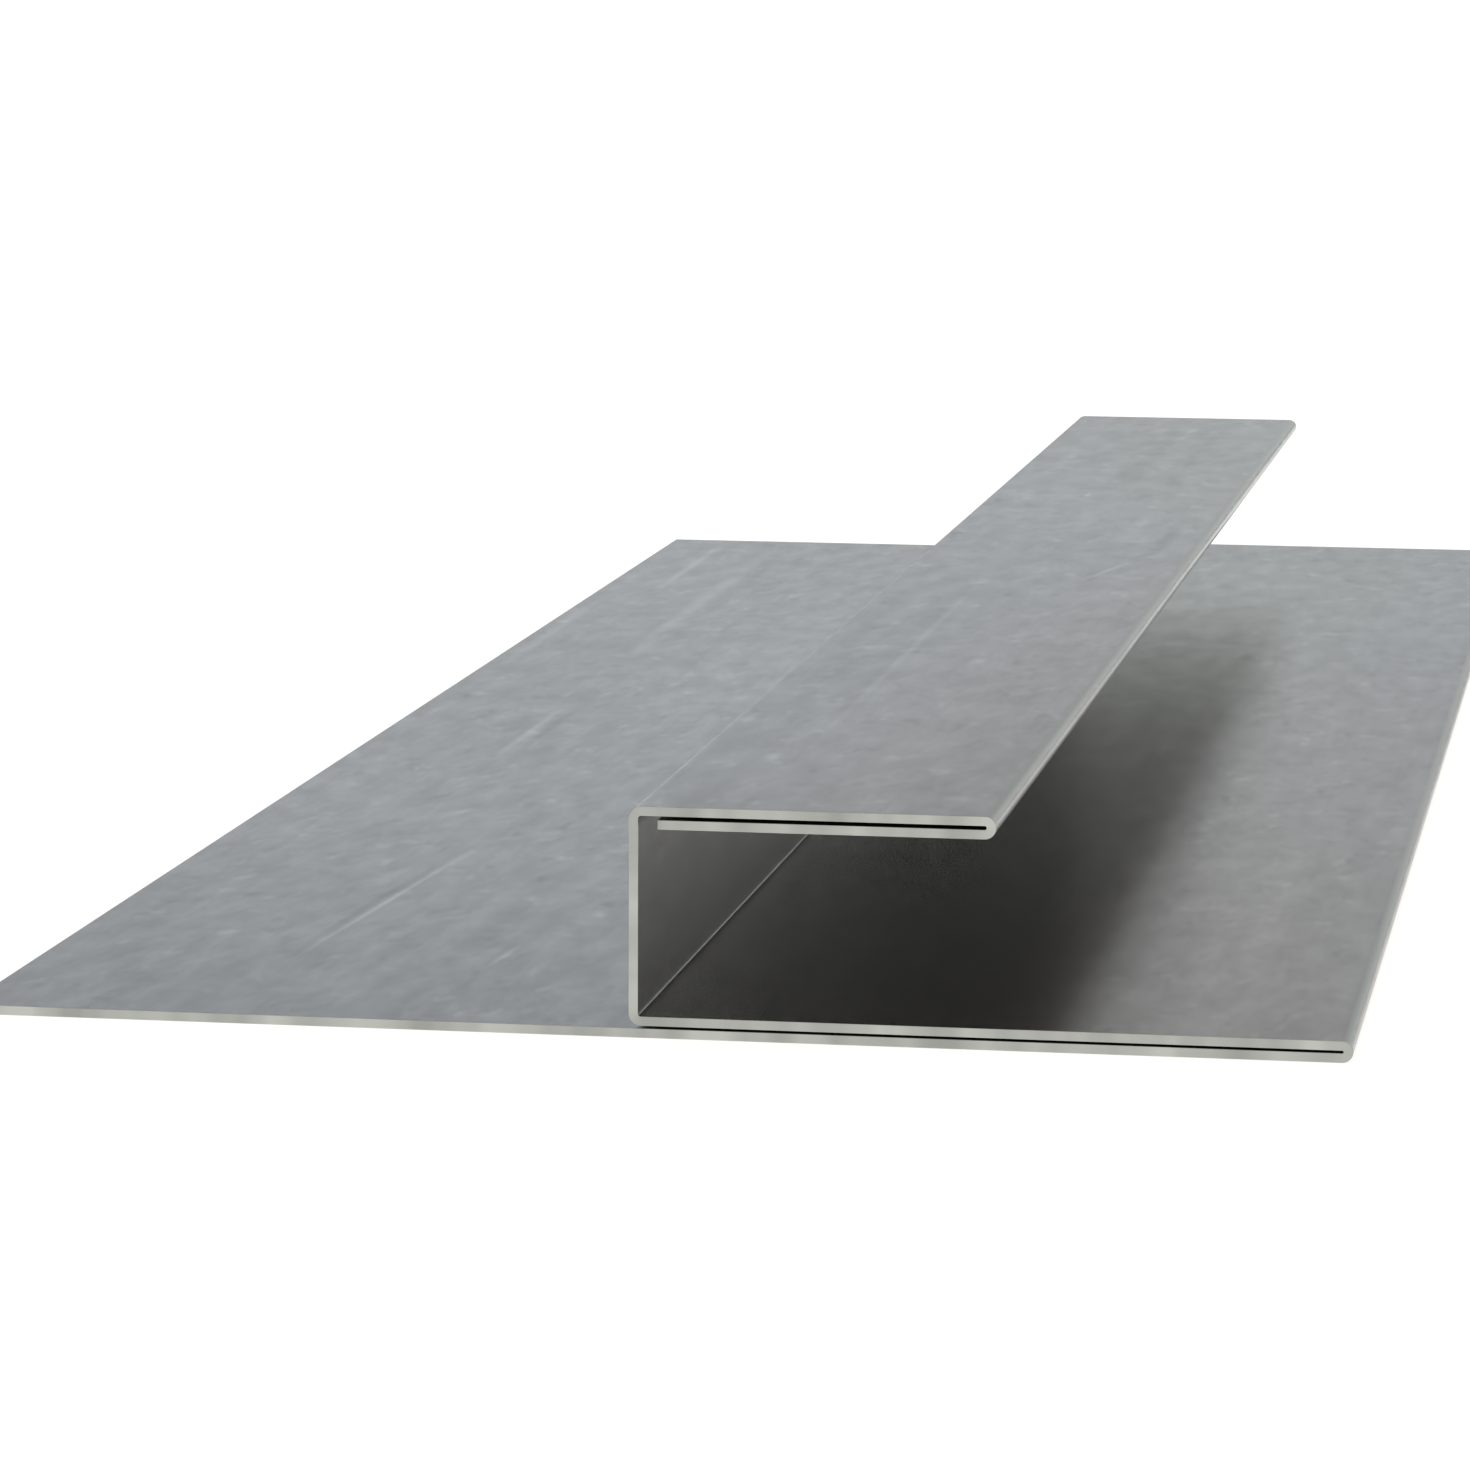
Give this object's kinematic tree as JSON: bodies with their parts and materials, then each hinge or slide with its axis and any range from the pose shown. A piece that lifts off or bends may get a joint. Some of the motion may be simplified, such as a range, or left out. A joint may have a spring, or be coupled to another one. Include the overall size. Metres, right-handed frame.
{
  "type": "facade panel h-profile",
  "caption": "Folded zinc sheet h-profile for facade panels: flat fixing flange, web, doubled floor flange and hemmed face flange that form a slot for a panel's edge.",
  "frame": {"origin": "middle of the underside: half of the width, half of the length, on the face that lies against the wall", "axes": "+Y along the profile, +Z away from the wall towards the face flange, +X from the fixing flange towards the slot's mouth"},
  "size_m": [0.116, 0.35, 0.0193],
  "materials": {
    "zinc_sheet": "matte"
  },
  "bodies": {
    "root": {"h_profile": "zinc_sheet"}
  },
  "joints": []
}
